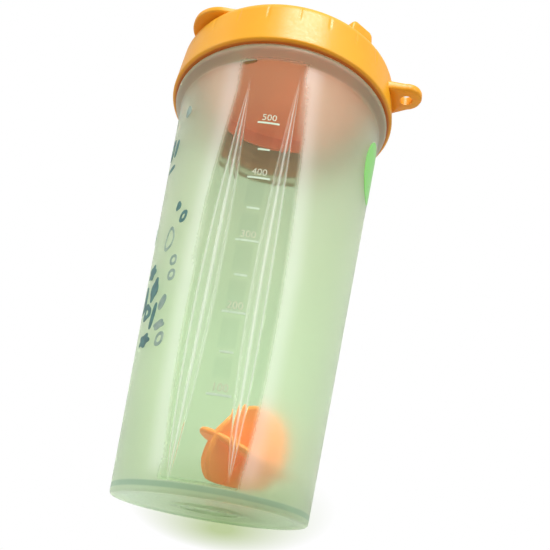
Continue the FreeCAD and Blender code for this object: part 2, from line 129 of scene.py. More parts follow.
def join_rings(bm, lower, upper):
    """Faces between two closed rings of vertices, either of which may be a single vertex."""
    count = max(len(lower), len(upper))
    if count == 1:
        return
    for i in range(count):
        j = (i + 1) % count
        if len(lower) == 1:
            bm.faces.new((lower[0], upper[j], upper[i]))
        elif len(upper) == 1:
            bm.faces.new((lower[i], lower[j], upper[0]))
        else:
            bm.faces.new((lower[i], lower[j], upper[j], upper[i]))


# ---------------------------------------------------------------- materials
PLASTIC_IOR, CUP_IOR = 1.46, 1.3
THIN_WALL_GLOW = 0.2  # share of the light that a thin wall passes on
# Where the lid's painted colours change, in metres: a painted glow inside and a painted shade under
# the skirt's foot. Each fades from the first value to the second.
GLOW_HEIGHT, GLOW_RADIUS = (0.1794, 0.1798), (0.0444, 0.0448)
FOOT_SHADE_HEIGHT, FOOT_SHADE_RADIUS = (0.1607, 0.1612), (0.0452, 0.0466)
# Cup attributes: how frosted, how much of a rib (painted whiter as a highlight), the paler band
# beside the window (painted highlight), how much darker (painted), and the collar's browner tint
# (painted for the lid seen through).
CUP_ATTRIBUTES = ("frost", "rib_sheen", "deep", "rim", "collar")


def new_material(name):
    material = bpy.data.materials.new(name)
    material.use_nodes = True
    tree = material.node_tree
    shader = tree.nodes["Principled BSDF"]
    return material, tree, shader


def node(tree, kind, **values):
    made = tree.nodes.new(kind)
    for key, value in values.items():
        if hasattr(made, key):
            setattr(made, key, value)
        else:
            made.inputs[key.replace("_", " ")].default_value = value
    return made


def noise(tree, scale, detail=4.0, rough=0.5, stretch=(1, 1, 1)):
    place = node(tree, "ShaderNodeTexCoord")
    mapping = node(tree, "ShaderNodeMapping")
    mapping.inputs["Scale"].default_value = stretch
    tree.links.new(place.outputs["Object"], mapping.inputs["Vector"])
    made = node(tree, "ShaderNodeTexNoise")
    made.inputs["Scale"].default_value = scale
    made.inputs["Detail"].default_value = detail
    made.inputs["Roughness"].default_value = rough
    tree.links.new(mapping.outputs["Vector"], made.inputs["Vector"])
    return made.outputs["Fac"]


def spread(tree, source, low, high, out_low, out_high):
    """Maps a value from one range to another."""
    made = node(tree, "ShaderNodeMapRange")
    for socket, value in zip(("From Min", "From Max", "To Min", "To Max"),
                             (low, high, out_low, out_high)):
        made.inputs[socket].default_value = value
    tree.links.new(source, made.inputs["Value"])
    return made.outputs["Result"]


def blend_colour(tree, factor, first, second):
    made = node(tree, "ShaderNodeMix", data_type="RGBA")
    for index, colour in ((6, first), (7, second)):
        if isinstance(colour, tuple):
            made.inputs[index].default_value = (*colour, 1.0)
        else:
            tree.links.new(colour, made.inputs[index])
    tree.links.new(factor, made.inputs[0])
    return made.outputs[2]


def math_node(tree, operation, first, second=None):
    made = node(tree, "ShaderNodeMath", operation=operation)
    for index, value in enumerate((first, second)):
        if value is None:
            continue
        if isinstance(value, (int, float)):
            made.inputs[index].default_value = value
        else:
            tree.links.new(value, made.inputs[index])
    return made.outputs[0]


def bump(tree, shader, height, distance, strength=1.0):
    made = node(tree, "ShaderNodeBump")
    made.inputs["Strength"].default_value = strength
    made.inputs["Distance"].default_value = distance
    tree.links.new(height, made.inputs["Height"])
    tree.links.new(made.outputs["Normal"], shader.inputs["Normal"])


def moulded_plastic(name, bright, deep, roughness, through=None):
    """Satin moulded plastic: slow colour drift, fine grain in the gloss and the surface."""
    material, tree, shader = new_material(name)
    drift = noise(tree, 55.0, 3.0)
    colour = blend_colour(tree, spread(tree, drift, 0.35, 0.65, 0.0, 1.0), deep, bright)
    tree.links.new(colour, shader.inputs["Base Color"])
    grain = noise(tree, 900.0, 3.0, 0.6)
    tree.links.new(spread(tree, grain, 0.3, 0.7, roughness - 0.06, roughness + 0.08),
                   shader.inputs["Roughness"])
    bump(tree, shader, grain, 0.00006, 0.35)
    shader.inputs["IOR"].default_value = PLASTIC_IOR
    if through:  # thin walls pass some light, which comes out warmer
        glow = node(tree, "ShaderNodeBsdfTranslucent")
        glow.inputs["Color"].default_value = (*through, 1.0)
        mix = node(tree, "ShaderNodeMixShader")
        mix.inputs[0].default_value = THIN_WALL_GLOW
        tree.links.new(shader.outputs[0], mix.inputs[1])
        tree.links.new(glow.outputs[0], mix.inputs[2])
        tree.links.new(mix.outputs[0], tree.nodes["Material Output"].inputs["Surface"])
    return material


def painted_glow(material, colour, strength):
    """Painted glow: a little emission that stands in for the light the thin discs pass on from all
    round.
    """
    shader = next(n for n in material.node_tree.nodes if n.type == "BSDF_PRINCIPLED")
    shader.inputs["Emission Color"].default_value = (*colour, 1.0)
    shader.inputs["Emission Strength"].default_value = strength


def paint_lid_glow_and_shade(material, inner, edge):
    """Painted light on the lid, set by position: its inside is painted redder as a glow, and the
    underside of its skirt is painted dark as shade.
    """
    tree = material.node_tree
    shader = next(n for n in tree.nodes if n.type == "BSDF_PRINCIPLED")
    place = node(tree, "ShaderNodeTexCoord")
    split = node(tree, "ShaderNodeSeparateXYZ")
    tree.links.new(place.outputs["Object"], split.inputs[0])
    flat = node(tree, "ShaderNodeVectorMath", operation="MULTIPLY")
    flat.inputs[1].default_value = (1, 1, 0)
    tree.links.new(place.outputs["Object"], flat.inputs[0])
    length = node(tree, "ShaderNodeVectorMath", operation="LENGTH")
    tree.links.new(flat.outputs[0], length.inputs[0])
    height, radius = split.outputs["Z"], length.outputs["Value"]
    # Painted glow inside the lid.
    low = spread(tree, height, *GLOW_HEIGHT, 1.0, 0.0)
    within = spread(tree, radius, *GLOW_RADIUS, 1.0, 0.0)
    inside = math_node(tree, "MULTIPLY", low, within)
    # Painted shade under the skirt's foot.
    foot = math_node(tree, "MULTIPLY", spread(tree, height, *FOOT_SHADE_HEIGHT, 1.0, 0.0),
                     spread(tree, radius, *FOOT_SHADE_RADIUS, 1.0, 0.0))
    colour = shader.inputs["Base Color"].links[0].from_socket
    colour = blend_colour(tree, inside, colour, inner)
    colour = blend_colour(tree, foot, colour, edge)
    tree.links.new(colour, shader.inputs["Base Color"])


def cup_plastic():
    """Tinted plastic that is frosted except in the front window. Attributes of the mesh hold how
    frosted each place is, how much of a rib it is (painted whiter as a highlight), a painted
    highlight band along the window's sides, how much darker it is painted, and the collar's browner
    tint, painted for the orange lid seen through it."""
    material, tree, shader = new_material("cup_plastic")
    frost, rib_sheen, deep, rim, collar = (
        node(tree, "ShaderNodeAttribute", attribute_name=name).outputs["Fac"]
        for name in CUP_ATTRIBUTES)
    cloud = noise(tree, 28.0, 3.0, 0.5, (1, 1, 0.35))
    grain = noise(tree, 1400.0, 2.0, 0.6)
    mottle = spread(tree, cloud, 0.3, 0.7, 0.0, 1.0)
    clear_tint = blend_colour(tree, mottle, (0.66, 0.775, 0.62), (0.69, 0.80, 0.65))
    frosted_tint = blend_colour(tree, mottle, (0.675, 0.775, 0.605), (0.715, 0.805, 0.645))
    tint = blend_colour(tree, frost, clear_tint, frosted_tint)
    # Painted highlight: a paler band along each side of the window and inside the flutes.
    tint = blend_colour(tree, math_node(tree, "MULTIPLY", rim, 0.85), tint, (0.93, 0.98, 0.91))
    # The ribs are real; their whiter tint is a painted highlight.
    tint = blend_colour(tree, rib_sheen, tint, (0.95, 1.0, 0.9))
    # Browner tint on the collar, painted for the orange lid seen through it.
    tint = blend_colour(tree, collar, tint, (0.56, 0.52, 0.38))
    # Painted darker places: the strip behind the scale, a painted shade beside the window's right
    # edge, the base and the band over the foot.
    tint = blend_colour(tree, deep, tint, (0.30, 0.46, 0.37))
    tree.links.new(tint, shader.inputs["Base Color"])
    rough = math_node(tree, "MULTIPLY", frost, spread(tree, grain, 0.3, 0.7, 0.30, 0.40))
    rough = math_node(tree, "ADD", rough, 0.04)
    tree.links.new(rough, shader.inputs["Roughness"])
    clear = spread(tree, frost, 0.0, 1.0, 0.97, 0.88)
    # Painted highlights and the collar's painted tint also pass less light.
    for layer, loss in ((rib_sheen, 0.4), (rim, 0.2), (collar, 0.3)):
        clear = math_node(tree, "SUBTRACT", clear, math_node(tree, "MULTIPLY", layer, loss))
    tree.links.new(clear, shader.inputs["Transmission Weight"])
    shader.inputs["IOR"].default_value = CUP_IOR
    bump(tree, shader, math_node(tree, "MULTIPLY", grain, frost), 0.00005, 0.3)
    # Lamps reach what is inside the cup.
    output = tree.nodes["Material Output"]
    through = node(tree, "ShaderNodeBsdfTransparent")
    through.inputs["Color"].default_value = (0.86, 0.92, 0.83, 1.0)
    path = node(tree, "ShaderNodeLightPath")
    mix = node(tree, "ShaderNodeMixShader")
    tree.links.new(path.outputs["Is Shadow Ray"], mix.inputs[0])
    tree.links.new(shader.outputs[0], mix.inputs[1])
    tree.links.new(through.outputs[0], mix.inputs[2])
    tree.links.new(mix.outputs[0], output.inputs["Surface"])
    return material


def ink(name, colour, pale, roughness=0.45):
    """Printed ink, a little uneven in cover."""
    material, tree, shader = new_material(name)
    patch = noise(tree, 420.0, 4.0, 0.6)
    tree.links.new(blend_colour(tree, spread(tree, patch, 0.38, 0.68, 0.0, 1.0), colour, pale),
                   shader.inputs["Base Color"])
    tree.links.new(spread(tree, patch, 0.3, 0.7, roughness - 0.08, roughness + 0.12),
                   shader.inputs["Roughness"])
    bump(tree, shader, patch, 0.00003, 0.3)
    return material


CUP = cup_plastic()
LID = moulded_plastic("lid_plastic", (0.98, 0.50, 0.02), (0.96, 0.46, 0.016), 0.36,
                      (1.0, 0.24, 0.05))
# The lid's inside is painted redder as a glow, and the underside of its skirt dark as shade.
paint_lid_glow_and_shade(LID, (0.95, 0.30, 0.17), (0.36, 0.13, 0.02))
BALL = moulded_plastic("ball_plastic", (0.93, 0.31, 0.08), (0.88, 0.27, 0.07), 0.4,
                       (1.0, 0.3, 0.08))
# Painted glow on the ball, in place of light that reaches it through the cup.
painted_glow(BALL, (1.0, 0.42, 0.12), 0.26)
SEAL = moulded_plastic("seal_silicone", (0.82, 0.82, 0.78), (0.76, 0.76, 0.72), 0.5)
SCALE_INK = ink("scale_ink", (0.62, 0.74, 0.57), (0.52, 0.66, 0.48))
NUMBER_INK = ink("number_ink", (0.60, 0.63, 0.47), (0.50, 0.56, 0.40))
TEAL_INK = ink("teal_ink", (0.03, 0.13, 0.13), (0.10, 0.26, 0.24))
GREY_INK = ink("grey_ink", (0.22, 0.33, 0.28), (0.42, 0.52, 0.43))
GREEN_INK = ink("green_ink", (0.19, 0.65, 0.09), (0.23, 0.70, 0.12), 0.35)


# ---------------------------------------------------------------- cup
def flute_line(flute, z):
    """Middle azimuth and half-width in degrees of a flute at a height. The middle follows the
    parabola through its three stated azimuths."""
    foot, middle, head, low, high, half, skew, _ = flute
    t = min(max((z - low) / (high - low), 0.0), 1.0)
    width = half * math.sin(math.pi * t ** skew)
    z = min(max(z, low), high)
    waist = FLUTE_MIDDLE_Z
    centre = (foot * (z - waist) * (z - high) / ((low - waist) * (low - high))
              + middle * (z - low) * (z - high) / ((waist - low) * (waist - high))
              + head * (z - low) * (z - waist) / ((high - low) * (high - waist)))
    return centre, width


def cup_columns(z):
    """Azimuths of the mesh's columns at a height: they follow the flutes' edges."""
    columns = []
    last = -180.0
    for flute in FLUTES:
        middle, half = flute_line(flute, z)
        half = max(half, SLIMMEST_FLUTE)
        first = middle + FLUTE_STEPS[0] * half
        steps = BETWEEN_STEPS if columns else LEFT_STEPS
        columns += [last + (first - last) * i / steps for i in range(steps)]
        columns += [middle + step * half for step in FLUTE_STEPS[:-1]]
        last = middle + FLUTE_STEPS[-1] * half
    columns += [last + (180.0 - last) * i / RIGHT_STEPS for i in range(RIGHT_STEPS)]
    return columns


FLUTE_COLUMNS = []
for index in range(len(FLUTES)):
    first_column = LEFT_STEPS + index * (len(FLUTE_STEPS) - 1 + BETWEEN_STEPS)
    FLUTE_COLUMNS.append(range(first_column, first_column + len(FLUTE_STEPS)))


def flute_shape(column, z):
    """How far the wall sinks in, how much of a rib it is, and how far inside a flute it is."""
    for flute, columns in zip(FLUTES, FLUTE_COLUMNS):
        if column in columns:
            half, strengths = flute[5], flute[7]
            step = FLUTE_STEPS[column - columns[0]]
            share = flute_line(flute, z)[1] / half
            fade = smooth(share, 0.0, 0.2)
            which = round(min(max(step, -1.0), 1.0))
            near = 1 - smooth(abs(step - which), 0.02, RIB_REACH[which + 1])
            rib = fade * near * strengths[which + 1]
            inside = fade * (1 - smooth(abs(step), 1.0, 1.3))
            sink = FLUTE_SINK * share * max(0.0, 1 - step * step)
            return sink - RIB_HEIGHT * rib, rib, inside
    return 0.0, 0.0, 0.0


def thread_height(azimuth, z):
    """The neck's screw ridge: its height above the neck at a place."""
    turn = ((azimuth - FRONT) / 360.0) % 1.0
    best = 0.0
    for lap in range(-1, 3):
        along = turn + lap
        if not 0.0 <= along <= THREAD_TURNS:
            continue
        ends = between(along, 0.0, THREAD_RUN_OUT, THREAD_TURNS - THREAD_RUN_OUT, THREAD_TURNS)
        offset = abs(z - THREAD_START - along * THREAD_PITCH)
        best = max(best, ends * (1 - smooth(offset, THREAD_CREST, THREAD_FOOT)))
    return best * THREAD_DEPTH


# How dark the strip behind the scale and the margin's painted shade are painted, and how frosted
# the collar and the base's middle are.
STRIP_DARKENING, MARGIN_SHADE, COLLAR_FROST, POLE_FROST = 0.22, 0.16, 0.85, 0.6
STRIP_SIDES, STRIP_ENDS = (-11.4, -10.4, -2.4, -1.4), (34.0, 35.0, 126.0, 127.0)
STRIP_BREAK = (1.2, 2.0)  # how near a line the strip ends and is full again
WINDOW_EDGES = [  # height, left and right azimuths of the clear window
    (0, -28.0, 13.0), (30, -31.0, 15.0), (50, -31.0, 15.5), (75, -32.0, 16.5), (100, -30.0, 13.5),
    (130, -26.0, 10.5), (155, -26.0, 8.5),
]


def window_at(z):
    """Left and right azimuths of the clear window at a height."""
    for (z0, l0, r0), (z1, l1, r1) in zip(WINDOW_EDGES, WINDOW_EDGES[1:]):
        if z <= z1:
            t = max(z - z0, 0) / (z1 - z0)
            return l0 + (l1 - l0) * t, r0 + (r1 - r0) * t
    return WINDOW_EDGES[-1][1:]


def sheen_band_at(azimuth, z):
    """A painted highlight: the paler band along each side of the window."""
    left, right = window_at(z)
    outside = max(left - azimuth, azimuth - right)
    return between(outside, -0.2, 0.9, 3.0, 13.0) * smooth(z, 1.0, 9.0)


def shade_at(azimuth, z):
    """Places painted darker: the polished strip behind the scale, broken at every line, and a
    painted shade on the slim clear margin beside the window's right edge."""
    right = window_at(z)[1]
    margin = between(azimuth, right - 4.4, right - 3.2, right - 0.8, right)
    across = between(azimuth, *STRIP_SIDES)
    beside = min(abs(z - line) for line in SCALE_LINES)
    inside = between(z, *STRIP_ENDS) * smooth(beside, *STRIP_BREAK)
    return max(STRIP_DARKENING * across * inside, MARGIN_SHADE * margin)


def frost_at(azimuth, z):
    """How frosted a place is: 0 in the window, 1 outside it and on the foot below it."""
    if z > TOP_Z:
        return COLLAR_FROST
    left, right = window_at(z)
    inside = between(azimuth, left - 1.2, left + 0.2, right - 0.2, right + 1.2)
    return 1 - inside * smooth(z, 3.2, 4.4)


def rows_between(low, high, step):
    """Evenly spaced heights, about a step apart, from low towards high but without high."""
    count = max(1, round((high - low) / step))
    return [low + (high - low) * i / count for i in range(count)]


def cup_profile():
    """(radius, height, kind) from the middle of the base, up the outside and down the inside."""
    rows = [(r, BASE_RECESS, "base") for r in (3.0, 5.6)]
    rows += [(5.9, 0.2, "base"), (6.5, 0.2, "base")]  # the inner raised ring
    rows += [(r, BASE_RECESS, "base") for r in (6.8, 9.2)]
    rows += [(9.5, 0.15, "base"), (10.5, 0.15, "base")]  # the outer raised ring
    rows += [(r, BASE_RECESS, "base") for r in (10.8, 14, 17, 20, 23.5, 26.5)]
    rows += [(27.4, 0.42, "base"), (28.2, 0.12, "base"), (29.0, 0.0, "base")]
    rows += [(31.4, 0.0, "foot"), (32.05, 0.15, "foot"), (32.45, 0.55, "foot")]
    rows += [(wall_r(z), z, "foot") for z in (1.0, 1.4)]
    rows += [(wall_r(z), z, "band") for z in (1.8, 2.4, 3.0)]
    rows += [(wall_r(z), z, "wall") for z in (3.5, 4.2)]
    rows += [(wall_r(z), z, "wall") for z in rows_between(5.0, 154.4, 1.6)]
    rows += [(wall_r(154.4), 154.4, "wall")]
    rows += [(r, z, "collar") for r, z in (
        (42.25, 155.0), (42.7, 155.5), (43.4, 156.3), (44.1, 157.1), (44.6, 157.7), (44.8, 158.3),
        (44.8, 159.3), (44.6, 159.85), (44.1, 160.1), (43.2, 160.1), (42.6, 160.2))]
    rows += [(NECK_R, z, "neck") for z in rows_between(160.6, 175.0, 0.4)]
    rows += [(42.35, 175.25, "rim"), (42.0, 175.6, "rim"), (41.0, 175.6, "rim"),
             (40.55, 175.3, "rim")]
    rows += [(NECK_R - WALL, z, "inside") for z in (174.5, 172, 169, 166, 163, 161)]
    rows += [(wall_r(z) - WALL, z, "inside") for z in rows_between(154.0, 8.0, -4.0)]
    # The round corner where the wall meets the floor.
    rows += [(wall_r(5.5) - WALL - 0.3, 5.6, "inside"), (wall_r(4.2) - WALL - 1.0, 4.2, "inside"),
             (wall_r(3.4) - WALL - 2.0, 3.35, "inside"), (wall_r(3.0) - WALL - 3.4, 3.05, "inside")]
    rows += [(r, INNER_FLOOR, "inside") for r in (24, 18, 12, 6)]
    return rows


# How much of the collar's browner tint, painted for the lid seen through, each kind of row takes.
COLLAR_TONE = {"collar": 1.0, "neck": 0.35, "rim": 0.35}
# How much darker each kind of row is painted.
DARK_PAINT = {"band": 0.9, "base": 0.25, "foot": 0.1}


def make_cup():
    """The cup as rings of columns, with the material's attributes at every vertex."""
    bm = bmesh.new()
    frost_layer, rib_sheen_layer, dark_paint_layer, sheen_band_layer, collar_layer = (
        bm.verts.layers.float.new(name) for name in CUP_ATTRIBUTES)
    rings = []
    for radius, z, kind in cup_profile():
        ring = []
        for column, azimuth in enumerate(cup_columns(z)):
            r, rib_sheen, inside = radius, 0.0, 0.0
            if kind == "wall":
                sink, rib_sheen, inside = flute_shape(column, z)
                r -= sink
            elif kind == "neck":
                r += thread_height(azimuth, z)
            vert = bm.verts.new(around(r, azimuth, z))
            vert[frost_layer] = frost_at(azimuth, z)
            # How much of a rib the place is; ribs are painted whiter as a highlight.
            vert[rib_sheen_layer] = rib_sheen
            vert[dark_paint_layer] = DARK_PAINT.get(kind, 0.0)
            if kind == "wall":
                # Painted highlight: the band beside the window, and a paler inside of each flute.
                vert[sheen_band_layer] = max(sheen_band_at(azimuth, z), 0.3 * inside)
                # Places of the wall painted darker.
                vert[dark_paint_layer] = shade_at(azimuth, z)
            vert[collar_layer] = COLLAR_TONE.get(kind, 0.0)
            ring.append(vert)
        rings.append(ring)
    for lower, upper in zip(rings, rings[1:]):
        join_rings(bm, lower, upper)
    for ring, z in ((rings[0], BASE_RECESS), (rings[-1], INNER_FLOOR)):
        pole = bm.verts.new((0, 0, z * MM))
        pole[frost_layer] = POLE_FROST
        for i in range(len(ring)):
            bm.faces.new((pole, ring[i], ring[(i + 1) % len(ring)]))
    return new_object("cup_shell", bm, "cup", CUP)


cup = make_cup()
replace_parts(cup, "cup_body")


# ---------------------------------------------------------------- helpers for the lid
def from_front(across, along, z):
    """A point given across and along the lid's own front direction (the front is -along)."""
    a = math.radians(FRONT)
    return Vector((across * math.cos(a) - along * math.sin(a),
                   across * math.sin(a) + along * math.cos(a), z)) * MM


def turned(name, profile, centre, body, material, steps=72, closed=True):
    """A turned piece about an upright line: profile is (radius, height) pairs in order."""
    bm = bmesh.new()
    rings = []
    for radius, z in profile:
        if radius == 0:
            rings.append([bm.verts.new(Vector((centre.x, centre.y, z * MM)))])
            continue
        rings.append([
            bm.verts.new(Vector((centre.x + radius * MM * math.sin(TAU * i / steps),
                                 centre.y - radius * MM * math.cos(TAU * i / steps), z * MM)))
            for i in range(steps)])
    pairs = list(zip(rings, rings[1:])) + ([(rings[-1], rings[0])] if closed else [])
    for lower, upper in pairs:
        join_rings(bm, lower, upper)
    return new_object(name, bm, body, material)


def slab(bm, outline, low, high):
    """A block from a closed outline of (across, along) points between two heights."""
    bottom = [bm.verts.new(from_front(x, y, low)) for x, y in outline]
    top = [bm.verts.new(from_front(x, y, high)) for x, y in outline]
    bm.faces.new(bottom)
    bm.faces.new(top)
    join_rings(bm, bottom, top)


def soften(obj, width, segments=3):
    edges = obj.modifiers.new("rounded", "BEVEL")
    edges.width = width * MM
    edges.segments = segments
    edges.limit_method = "ANGLE"
    edges.angle_limit = math.radians(40)
    edges.harden_normals = False
    settle(obj)


def settle(obj):
    """Applies a piece's modifiers to its mesh."""
    graph = bpy.context.evaluated_depsgraph_get()
    made = bpy.data.meshes.new_from_object(obj.evaluated_get(graph))
    obj.modifiers.clear()
    obj.data = made


def rod(name, start, end, radius, steps=40):
    """A loose cylinder used to cut holes."""
    bm = bmesh.new()
    axis = end - start
    bmesh.ops.create_cone(bm, cap_ends=True, segments=steps, radius1=radius * MM,
                          radius2=radius * MM, depth=axis.length)
    turn = axis.to_track_quat("Z", "Y").to_matrix().to_4x4()
    bm.transform(Matrix.Translation((start + end) / 2) @ turn)
    mesh = bpy.data.meshes.new(name)
    bm.to_mesh(mesh)
    bm.free()
    obj = bpy.data.objects.new(name, mesh)
    bpy.context.scene.collection.objects.link(obj)
    return obj


def combine(obj, other, operation):
    """Cuts another solid from a piece, or joins it on, and removes the other."""
    step = obj.modifiers.new("solid", "BOOLEAN")
    step.operation = operation
    step.solver = "EXACT"
    step.object = other
    settle(obj)
    bpy.data.objects.remove(other)
    for polygon in obj.data.polygons:
        polygon.use_smooth = True


def keep_edges(obj, degrees=35):
    """Smooth shading that still breaks at real edges."""
    mesh = obj.data
    bm = bmesh.new()
    bm.from_mesh(mesh)
    limit = math.radians(degrees)
    for edge in bm.edges:
        edge.smooth = len(edge.link_faces) == 2 and edge.calc_face_angle(0) < limit
    bm.to_mesh(mesh)
    bm.free()


# ---------------------------------------------------------------- screw lid
SHOULDER_ROUND = 3.2
GROOVE_OFFSETS = [-5.4, -3.3, -1.3, -0.85, -0.45, 0.0, 0.45, 0.85, 1.3, 3.3, 5.4, 7.5]


def lid_profile():
    """(radius, height, kind) round the lid's section, from the middle of the deck outwards,
    down the skirt, and back up inside."""
    ceiling = DECK_Z - DECK_T
    rows = [(r, DECK_Z, "deck") for r in (8, 18, 28, 36, 40.5)]
    for i in range(1, 8):
        a = math.radians(90 * i / 8)
        rows.append((SHOULDER_R - SHOULDER_ROUND + SHOULDER_ROUND * math.sin(a),
                     DECK_Z - SHOULDER_ROUND + SHOULDER_ROUND * math.cos(a), "skirt"))
    for z in rows_between(DECK_Z - SHOULDER_ROUND, 162.0, -0.9):
        t = (DECK_Z - z) / (DECK_Z - LID_LOW)
        rows.append((SHOULDER_R + (SKIRT_R - SHOULDER_R) * t, z, "skirt"))
    rows += [(46.74, 161.6, "skirt"), (46.72, 161.15, "skirt"), (46.45, 160.75, "skirt"),
             (46.0, 160.52, "rim"), (45.4, 160.5, "rim"), (44.5, 160.5, "rim"),
             (44.1, 160.62, "rim"), (BORE_R, 160.9, "rim")]
    rows += [(BORE_R, z, "bore") for z in rows_between(161.3, ceiling - 0.4, 0.45)]
    rows += [(BORE_R - 0.1, ceiling - 0.1, "inside"), (BORE_R - 0.5, ceiling, "inside")]
    inner, rib_low = RIB_R - RIB_T, ceiling - RIB_DEPTH
    rows += [(RIB_R + 0.3, ceiling, "inside"), (RIB_R, ceiling - 0.3, "inside"),
             (RIB_R, rib_low + 0.4, "inside"), (RIB_R - 0.2, rib_low, "inside"),
             (inner + 0.2, rib_low, "inside"), (inner, rib_low + 0.4, "inside"),
             (inner, ceiling - 0.3, "inside"), (inner - 0.3, ceiling, "inside")]
    rows += [(r, ceiling, "inside") for r in (30, 20, 10)]
    return rows


def make_lid():
    """The lid's shell: grip grooves outside, thread and sealing rib inside, spout hole cut."""
    bm = bmesh.new()
    columns = [(k * 360.0 / GROOVES + offset, offset)
               for k in range(GROOVES) for offset in GROOVE_OFFSETS]
    rings = []
    for radius, z, kind in lid_profile():
        ring = []
        for azimuth, offset in columns:
            r = radius
            if kind == "skirt":
                across = 1 - smooth(abs(offset), 0.35, 0.95)
                up = smooth(z, 171.6, 173.0) * (1 - smooth(z, 179.0, 180.6))
                r -= GROOVE_DEPTH * across * up
            elif kind == "bore":
                r -= thread_height(azimuth + 180, z)
            ring.append(bm.verts.new(around(r, azimuth, z)))
        rings.append(ring)
    for lower, upper in zip(rings, rings[1:]):
        join_rings(bm, lower, upper)
    for ring, z in ((rings[0], DECK_Z), (rings[-1], DECK_Z - DECK_T)):
        join_rings(bm, [bm.verts.new((0, 0, z * MM))], ring)
    lid = new_object("lid_shell", bm, "lid", LID)
    bore = rod("spout_cut", from_front(0, -SPOUT_OUT, DECK_Z - 4),
               from_front(0, -SPOUT_OUT, DECK_Z + 2), SPOUT_BORE, 72)
    combine(lid, bore, "DIFFERENCE")
    keep_edges(lid)
    return lid


def make_spout():
    low, top = DECK_Z - 0.3, SPOUT_TOP
    profile = [(SPOUT_BORE, low), (SPOUT_R + 0.7, low), (SPOUT_R + 0.25, low + 0.6),
               (SPOUT_R, low + 1.3), (SPOUT_R - 0.05, top - 0.9), (SPOUT_R - 0.25, top - 0.3),
               (SPOUT_R - 0.7, top), (SPOUT_BORE + 0.6, top), (SPOUT_BORE + 0.2, top - 0.15),
               (SPOUT_BORE, top - 0.6)]
    spout = turned("spout", profile, from_front(0, -SPOUT_OUT, 0), "lid", LID)
    keep_edges(spout, 50)
    return spout


def make_lug(side, word):
    """A hinge lug: a block with cut, softened corners and the pin's hole."""
    bm = bmesh.new()
    low = DECK_Z - 1.2
    half, cut, nick = LUG_HALF_TOP, LUG_CORNER, 0.3 * LUG_CORNER
    outline = [(-LUG_HALF_BASE, low), (LUG_HALF_BASE, low), (half, LUG_TOP - cut),
               (half - nick, LUG_TOP - nick), (half - cut, LUG_TOP), (-half + cut, LUG_TOP),
               (-half + nick, LUG_TOP - nick), (-half, LUG_TOP - cut)]
    faces = [[bm.verts.new(from_front(side * x, LUG_SHIFT + along, z)) for along, z in outline]
             for x in (LUG_OUTER - LUG_T, LUG_OUTER)]
    bm.faces.new(faces[0])
    bm.faces.new(faces[1])
    join_rings(bm, faces[0], faces[1])
    lug = new_object(f"hinge_lug_{word}", bm, "lid", LID)
    soften(lug, 1.1)
    hole = rod("pin_cut", from_front(side * (LUG_OUTER - LUG_T - 2), 0, HINGE_Z),
               from_front(side * (LUG_OUTER + 2), 0, HINGE_Z), PIN_R + PIN_CLEAR)
    combine(lug, hole, "DIFFERENCE")
    keep_edges(lug)
    return lug


def make_eye():
    """A flat ring with rounded edges, and a web that flares into the skirt."""
    root = EYE_OUT - 45.0
    steps = 64

    def reach(turn):
        c, s = math.cos(turn), math.sin(turn)
        if c >= 0:
            return EYE_R
        # The web's side runs from (0, EYE_R) to (-root, EYE_ROOT).
        side = EYE_R / (abs(s) + c * (EYE_ROOT - EYE_R) / root) if abs(s) > 1e-6 else 1e9
        return min(side if side > 0 else 1e9, root / -c)

    bm = bmesh.new()
    a = math.radians(EYE_AZIMUTH)
    out, side_way = Vector((math.sin(a), -math.cos(a), 0)), Vector((math.cos(a), math.sin(a), 0))
    half = EYE_T / 2
    rings = []
    sections = [(0.0, -half + 1.1), (0.0, half - 1.1), (0.3, half - 0.4), (1.0, half), (None, half),
                (None, -half), (1.0, -half), (0.3, -half + 0.4)]
    for inset, up in sections:
        ring = []
        for i in range(steps):
            turn = TAU * i / steps
            r = EYE_HOLE if inset is None else reach(turn) - inset
            place = out * (EYE_OUT + r * math.cos(turn)) + side_way * r * math.sin(turn)
            ring.append(bm.verts.new((place + Vector((0, 0, EYE_Z + up))) * MM))
        rings.append(ring)
    for lower, upper in zip(rings, rings[1:] + rings[:1]):
        join_rings(bm, lower, upper)
    eye = new_object("lanyard_eye", bm, "lid", LID)
    keep_edges(eye, 50)
    return eye


# ---------------------------------------------------------------- flip cap
def cap_outline():
    """The cap's plan: straight sides from the hinge to a round lip."""
    hinge_end = LUG_OUTER - LUG_T - HINGE_GAP
    corner = Vector((hinge_end, -4.5))
    centre = Vector((0, -LIP_OUT))
    gap = corner - centre
    touch = math.atan2(gap.y, gap.x) - math.acos(LIP_R / gap.length)
    points = [(hinge_end, -0.5), (hinge_end, -4.5)]
    points += [(centre.x + LIP_R * math.cos(touch - (touch + math.pi / 2) * i / 14),
                centre.y + LIP_R * math.sin(touch - (touch + math.pi / 2) * i / 14))
               for i in range(15)]
    return points + [(-x, y) for x, y in reversed(points[:-1])]


def make_cap_plate():
    """The cap's flat plate, open under the turret."""
    bm = bmesh.new()
    slab(bm, cap_outline(), CAP_LOW, CAP_LOW + CAP_T)
    plate = new_object("cap_plate", bm, "cap", LID)
    soften(plate, 0.8, 4)
    hollow = rod("hollow_cut", from_front(0, -SPOUT_OUT, CAP_LOW - 2),
                 from_front(0, -SPOUT_OUT, CAP_LOW + CAP_T + 2), TURRET_BORE, 72)
    combine(plate, hollow, "DIFFERENCE")
    keep_edges(plate)
    return plate


